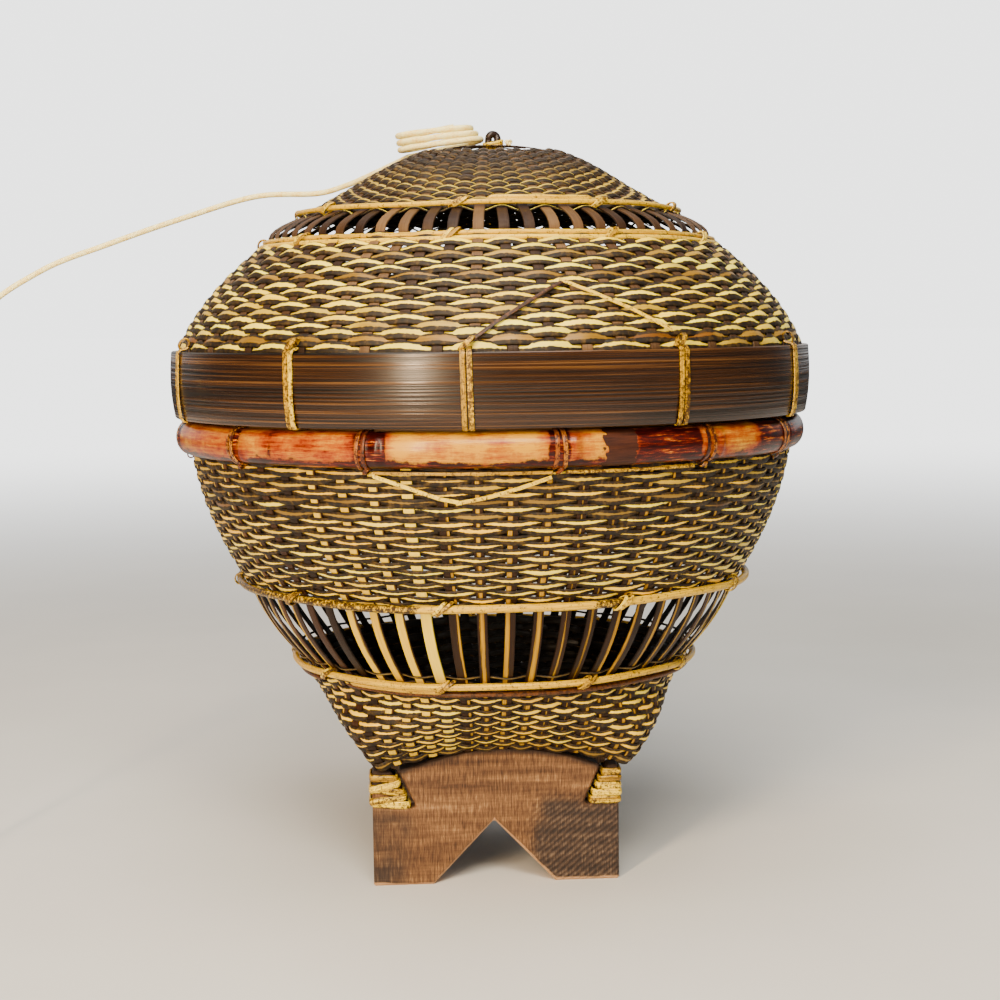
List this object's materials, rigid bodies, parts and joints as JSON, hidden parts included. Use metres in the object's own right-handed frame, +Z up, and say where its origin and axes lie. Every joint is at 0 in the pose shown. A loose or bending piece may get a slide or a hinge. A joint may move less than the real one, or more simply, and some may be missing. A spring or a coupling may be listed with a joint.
{
  "type": "lidded fishing basket",
  "caption": "Lidded woven cane fishing basket, square at the foot and round at the rim, on notched wooden foot boards, with a lift-off domed lid and a carrying cord.",
  "frame": {"origin": "on the floor, under the middle of the basket", "axes": "+Z up along the axis of the basket; the front foot board faces -Y; +X to the right seen from the front"},
  "size_m": [0.4188, 0.3046, 0.3524],
  "materials": {
    "gold_cane": "split rattan, golden, satin",
    "brown_cane": "split rattan, smoked dark brown, satin",
    "dark_bamboo": "split bamboo, dark brown, satin",
    "lacquered_bamboo": "split pole, orange brown lacquer, glossy",
    "sawn_wood": "rough sawn, unfinished",
    "pale_cord": "twisted plant fibre, matt"
  },
  "bodies": {
    "basket": {"foot_board_front": "sawn_wood", "foot_board_back": "sawn_wood", "bottom_mat": "brown_cane", "lower_weave": "gold_cane", "waist_stakes": "gold_cane", "waist_hoop_upper": "gold_cane", "waist_hoop_lower": "gold_cane", "waist_hoop_second": "brown_cane", "upper_weave": "gold_cane", "neck_band": "dark_bamboo", "rim_hoop": "lacquered_bamboo", "rim_tie_01": "brown_cane", "rim_tie_02": "brown_cane", "rim_tie_03": "brown_cane", "rim_tie_04": "brown_cane", "rim_tie_05": "brown_cane", "rim_tie_06": "brown_cane", "rim_tie_07": "brown_cane", "rim_tie_08": "brown_cane", "rim_tie_09": "brown_cane", "rim_tie_10": "brown_cane", "rim_tie_11": "brown_cane", "rim_tie_12": "brown_cane", "corner_lashing_front_right": "gold_cane", "corner_lashing_front_left": "gold_cane", "corner_lashing_back_left": "gold_cane", "corner_lashing_back_right": "gold_cane", "rim_chevron": "gold_cane"},
    "lid": {"lid_band_inner": "dark_bamboo", "lid_band_outer": "dark_bamboo", "lid_weave": "gold_cane", "lid_stakes": "brown_cane", "lid_hoop_lower": "gold_cane", "lid_hoop_second": "gold_cane", "lid_hoop_upper": "gold_cane", "lid_crown": "gold_cane", "lid_tie_01": "gold_cane", "lid_tie_02": "gold_cane", "lid_tie_03": "gold_cane", "lid_tie_04": "gold_cane", "lid_tie_05": "gold_cane", "lid_tie_06": "gold_cane", "lid_tie_07": "gold_cane", "lid_tie_08": "gold_cane", "lid_tie_09": "gold_cane", "lid_tie_10": "gold_cane", "lid_chevron": "brown_cane", "crown_loop": "brown_cane", "cord_hank": "pale_cord", "cord_tail": "pale_cord"}
  },
  "joints": [
    {"name": "lid_lift", "type": "slide", "parent": "basket", "child": "lid", "axis": [0, 0, 1], "range_m": [0, 0.25]}
  ]
}
